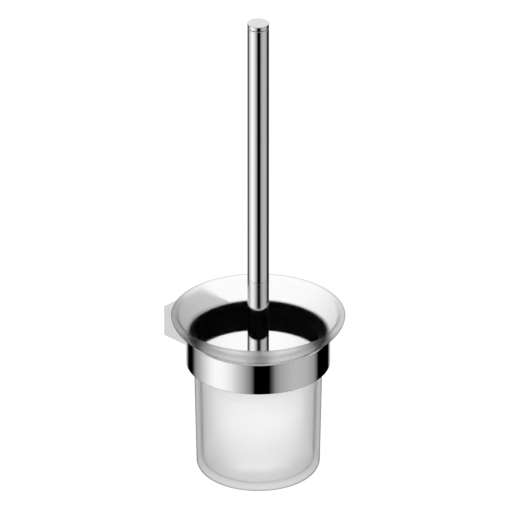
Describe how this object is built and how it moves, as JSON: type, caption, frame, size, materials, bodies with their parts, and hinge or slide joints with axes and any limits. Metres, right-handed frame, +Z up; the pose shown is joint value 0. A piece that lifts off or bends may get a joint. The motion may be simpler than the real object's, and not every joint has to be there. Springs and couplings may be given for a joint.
{
  "type": "toilet brush holder",
  "caption": "Wall-mounted toilet brush holder: a ring on a square post carries a flared frosted glass tumbler, and a brush with a long tube handle stands in it.",
  "frame": {"origin": "middle of the wall plate's back face, on the wall", "axes": "+Y into the wall, +Z up along the handle, -Y out into the room; the tumbler's axis is 82 mm in front of the wall at x = 0"},
  "size_m": [0.1332, 0.1486, 0.3794],
  "materials": {
    "chrome": "polished chrome plating",
    "plate_steel": "brushed",
    "screw_steel": "turned stainless steel",
    "black_steel": "black oxide",
    "insert_brass": "turned",
    "black_plastic": "matte moulded",
    "frosted_glass": "satin frosted",
    "seal_rubber": "matte",
    "white_plastic": "satin moulded",
    "bristle": "bundled nylon filament"
  },
  "bodies": {
    "holder": {"wall_plate": "plate_steel", "bracket_post": "chrome", "grub_screw": "screw_steel", "holder_ring": "chrome", "ring_screw_upper": "black_steel", "ring_screw_lower": "black_steel", "ring_liner": "black_plastic"},
    "tumbler": {"glass_tumbler": "frosted_glass"},
    "brush_head": {"head_core": "white_plastic", "head_threaded_stud": "screw_steel", "bristle_row_1": "bristle", "bristle_row_2": "bristle", "bristle_row_3": "bristle", "bristle_row_4": "bristle", "bristle_row_5": "bristle", "bristle_row_6": "bristle", "bristle_row_7": "bristle", "bristle_end_tuft": "bristle"},
    "seal": {"handle_sealing_washer": "seal_rubber"},
    "handle": {"handle_tube": "chrome", "handle_top_cap": "chrome", "handle_threaded_insert": "insert_brass"}
  },
  "joints": [
    {"name": "tumbler_lift", "type": "slide", "parent": "holder", "child": "tumbler", "axis": [0, 0, 1], "range_m": [0, 0.125]},
    {"name": "brush_lift", "type": "slide", "parent": "tumbler", "child": "brush_head", "axis": [0, 0, 1], "range_m": [0, 0.135]},
    {"name": "handle_turn", "type": "hinge", "parent": "brush_head", "child": "seal", "pos_m": [0, -0.082, -0.0168], "axis": [0, 0, 1], "range_deg": [0, 2880]},
    {"name": "handle_rise", "type": "slide", "parent": "seal", "child": "handle", "axis": [0, 0, 1], "range_m": [0, 0.0101]}
  ],
  "couplings": [
    {"joint": "handle_rise", "follows": "handle_turn", "m_per_rad": 0.00019894}
  ]
}
